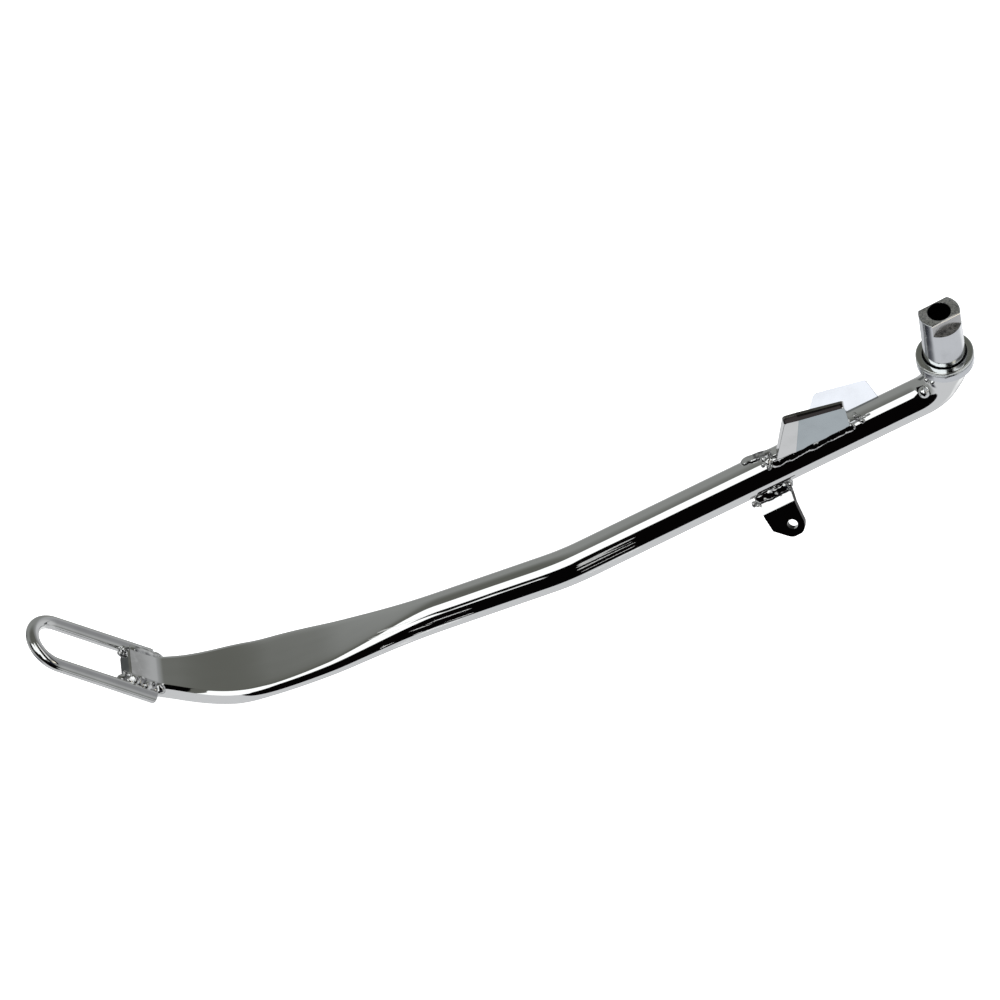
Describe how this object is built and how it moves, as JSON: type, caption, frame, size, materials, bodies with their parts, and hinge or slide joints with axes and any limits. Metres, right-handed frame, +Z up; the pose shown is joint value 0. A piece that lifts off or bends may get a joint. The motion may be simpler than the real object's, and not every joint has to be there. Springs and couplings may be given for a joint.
{
  "type": "motorcycle kickstand",
  "caption": "Chromed side stand: a bent bar leg with a flattened, looped foot, two stop wings and a spring tab, welded under a turned pivot post with a loose thrust washer.",
  "frame": {"origin": "on the pivot post's axis, in the plane of the thrust washer's upper face, where the motorcycle's bracket bears", "axes": "+Z up the pivot post, away from the leg; the leg lies in the XZ plane and runs out and down towards -X; +Y is the side of the flared stop wing, -Y the side of the spring tab's front"},
  "size_m": [0.4019, 0.0361, 0.1772],
  "materials": {
    "chrome": "polished chrome plate over steel",
    "machined_steel": "turned and ground steel, lightly plated, fine tool marks",
    "dark_steel": "smooth dark bright-edged washer steel",
    "weld_chrome": "chrome plate over rippled weld metal"
  },
  "bodies": {
    "leg": {"leg_bar": "chrome", "foot_loop": "chrome", "near_stop_wing": "chrome", "far_stop_wing": "chrome", "spring_tab": "chrome", "pivot_post": "machined_steel", "post_seam_weld": "weld_chrome", "near_wing_front_weld": "weld_chrome", "near_wing_back_weld": "weld_chrome", "far_wing_weld": "weld_chrome", "tab_front_weld": "weld_chrome", "tab_back_weld": "weld_chrome", "loop_near_weld": "weld_chrome", "loop_far_weld": "weld_chrome"},
    "washer": {"thrust_washer": "dark_steel"}
  },
  "joints": [
    {"name": "washer_turn", "type": "hinge", "parent": "leg", "child": "washer", "pos_m": [0, 0, 0], "axis": [0, 0, 1], "continuous": true}
  ]
}
